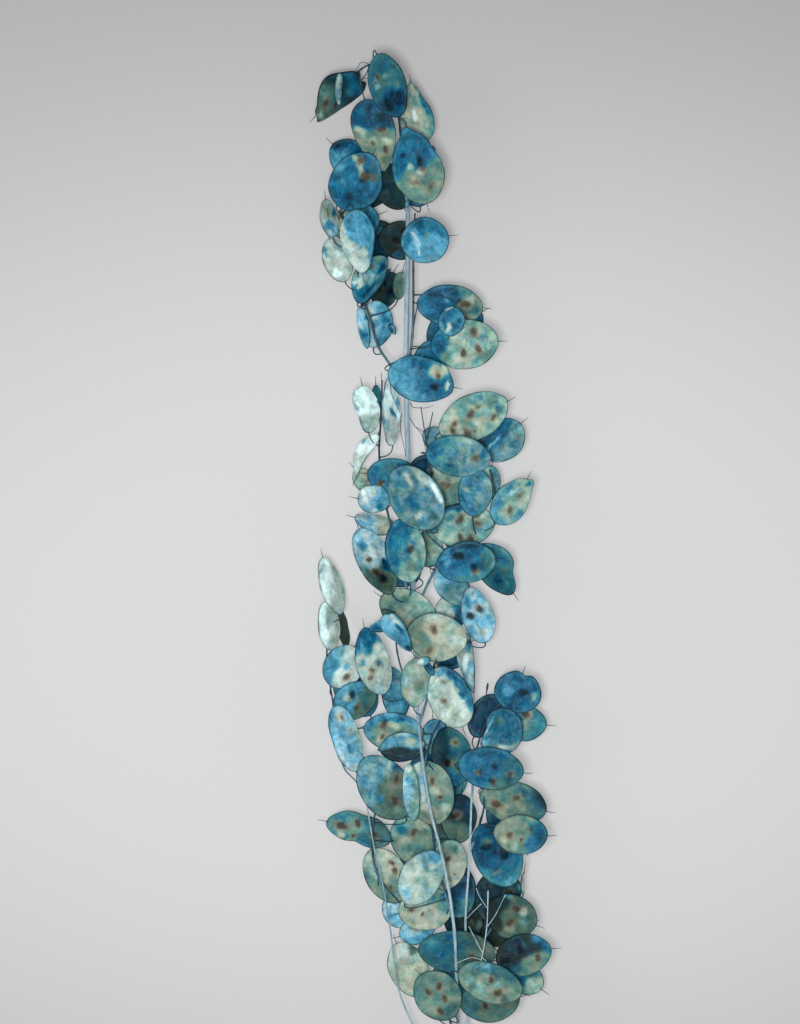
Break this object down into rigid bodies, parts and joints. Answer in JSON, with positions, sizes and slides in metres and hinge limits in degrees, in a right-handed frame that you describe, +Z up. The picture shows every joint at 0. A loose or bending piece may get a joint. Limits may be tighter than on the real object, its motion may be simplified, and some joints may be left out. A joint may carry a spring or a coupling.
{
  "type": "honesty seed pod stem",
  "caption": "Dried, blue-dyed branch of flat oval papery seed pods in sprays on a thin forked stem, cut and lying down.",
  "frame": {"origin": "bottom centre of the whole plant's box, on the surface it lies on", "axes": "+Y from the cut foot towards the crown, along the plant; +Z up from the surface, the plant's shortest way; +X across"},
  "size_m": [0.1664, 0.7412, 0.0592],
  "materials": {
    "stem": "dry pale stem, washed blue-grey, slightly ribbed",
    "pods": "thin papery satin, dyed blue in clouds over cream and grey-green"
  },
  "bodies": {
    "root": {"stem": "stem", "bare_twig": "stem", "crown_spray": "pods", "upper_left_spray": "pods", "upper_right_spray": "pods", "mid_left_spray": "pods", "mid_right_spray": "pods", "outer_right_spray": "pods", "centre_spray": "pods", "inner_left_spray": "pods", "outer_left_spray": "pods", "lower_left_spray": "pods", "lower_mid_spray": "pods", "low_centre_spray": "pods", "right_spray": "pods", "right_lower_spray": "pods", "base_right_spray": "pods", "base_spray": "pods"}
  },
  "joints": []
}
